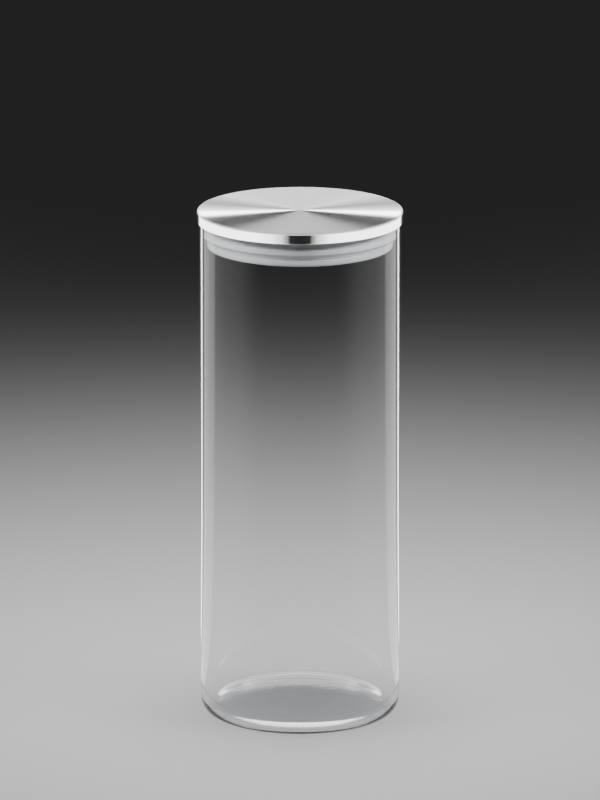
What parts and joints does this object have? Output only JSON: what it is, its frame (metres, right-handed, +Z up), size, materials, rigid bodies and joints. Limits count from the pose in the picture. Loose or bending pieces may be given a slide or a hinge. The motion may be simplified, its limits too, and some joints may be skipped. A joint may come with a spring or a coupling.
{
  "type": "lidded glass canister",
  "caption": "Tall straight glass storage canister closed by a flat round steel-capped push-in lid with a translucent sealing ring.",
  "frame": {"origin": "centre of the jar's resting ring, on the plane that the jar stands on", "axes": "+Z up along the axis of the jar and the lid; the object is a body of revolution about +Z"},
  "size_m": [0.1032, 0.1032, 0.26],
  "materials": {
    "glass": "clear fire-polished borosilicate glass",
    "steel": "circular brushed top with a mirror-polished skirt",
    "adhesive": "cured clear adhesive, hidden between the plug and the cap",
    "plug_plastic": "milky translucent moulded polypropylene",
    "silicone": "milky translucent silicone"
  },
  "bodies": {
    "jar": {"glass_jar": "glass"},
    "seal": {"sealing_ring": "silicone"},
    "lid": {"steel_cap": "steel", "bond_ring": "adhesive", "plug_insert": "plug_plastic"}
  },
  "joints": [
    {"name": "lid_lift", "type": "slide", "parent": "jar", "child": "seal", "axis": [0, 0, 1], "range_m": [0, 0.12]},
    {"name": "lid_turn", "type": "hinge", "parent": "seal", "child": "lid", "pos_m": [0, 0, 0.25], "axis": [0, 0, 1], "continuous": true}
  ]
}
